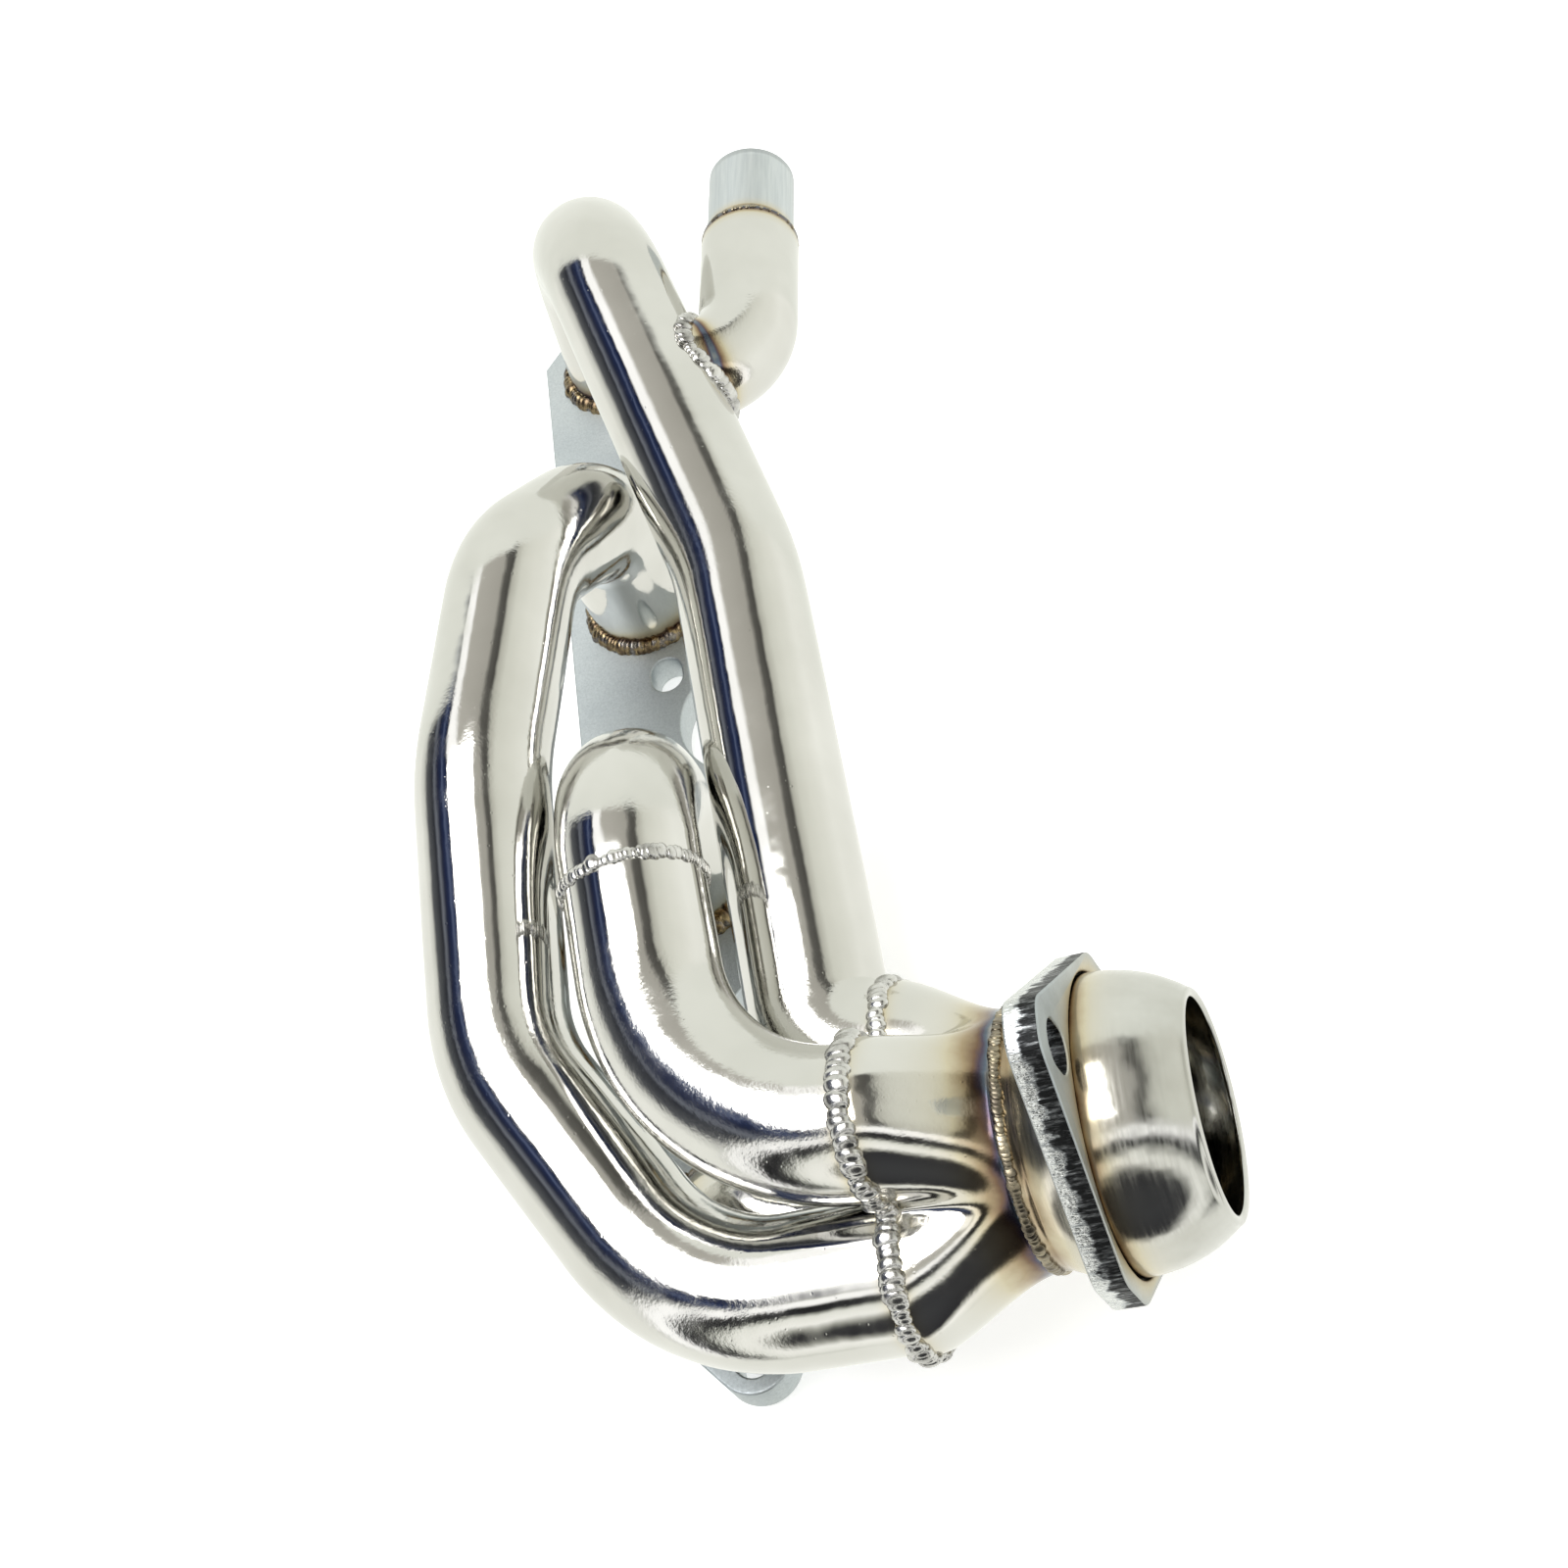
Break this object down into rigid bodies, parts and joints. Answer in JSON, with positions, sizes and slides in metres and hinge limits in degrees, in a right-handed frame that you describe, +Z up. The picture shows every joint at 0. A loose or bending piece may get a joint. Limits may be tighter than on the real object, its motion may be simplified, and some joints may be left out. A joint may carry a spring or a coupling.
{
  "type": "exhaust manifold",
  "caption": "Tubular exhaust manifold: bent runners from a flat head flange into a formed collector, with a ball outlet, a loose outlet flange and a branch pipe.",
  "frame": {"origin": "on the head flange's gasket face, midway between the end ports and on the line of the port centres", "axes": "+X along the head flange from port 1, the branch end, to port 4, the collector end; +Y out of the flange on the tube side; +Z up, away from the outlet"},
  "size_m": [0.4485, 0.1221, 0.1988],
  "materials": {
    "blasted_plate": "matt, fine blasted grain",
    "polished_tube": "mirror polished stainless steel with heat tint at the joints",
    "plain_steel_tube": "matt light grey, as drawn",
    "tinted_bead": "welded bead with straw and bronze heat tint",
    "silver_bead": "bright welded bead",
    "satin_ball": "satin, bronze tint at the foot",
    "cut_plate": "matt faces, bright torch-cut edge"
  },
  "bodies": {
    "header": {"head_flange": "blasted_plate", "runner_1": "polished_tube", "runner_2": "polished_tube", "runner_3_upper": "polished_tube", "runner_3_lower": "polished_tube", "runner_4": "polished_tube", "branch_elbow": "polished_tube", "branch_stub": "plain_steel_tube", "port_weld_1": "tinted_bead", "port_weld_2": "tinted_bead", "port_weld_3": "tinted_bead", "port_weld_4": "tinted_bead", "runner_3_weld": "silver_bead", "branch_saddle_weld": "silver_bead", "branch_stub_weld": "silver_bead", "collector": "polished_tube", "collector_weld": "silver_bead", "outlet_neck_weld": "tinted_bead", "outlet_ball": "satin_ball"},
    "loose_flange": {"outlet_flange": "cut_plate"}
  },
  "joints": [
    {"name": "flange_spin", "type": "hinge", "parent": "header", "child": "loose_flange", "pos_m": [0.18776, 0.05776, -0.1078], "axis": [0.1212, 0.1212, -0.9852], "continuous": true}
  ]
}
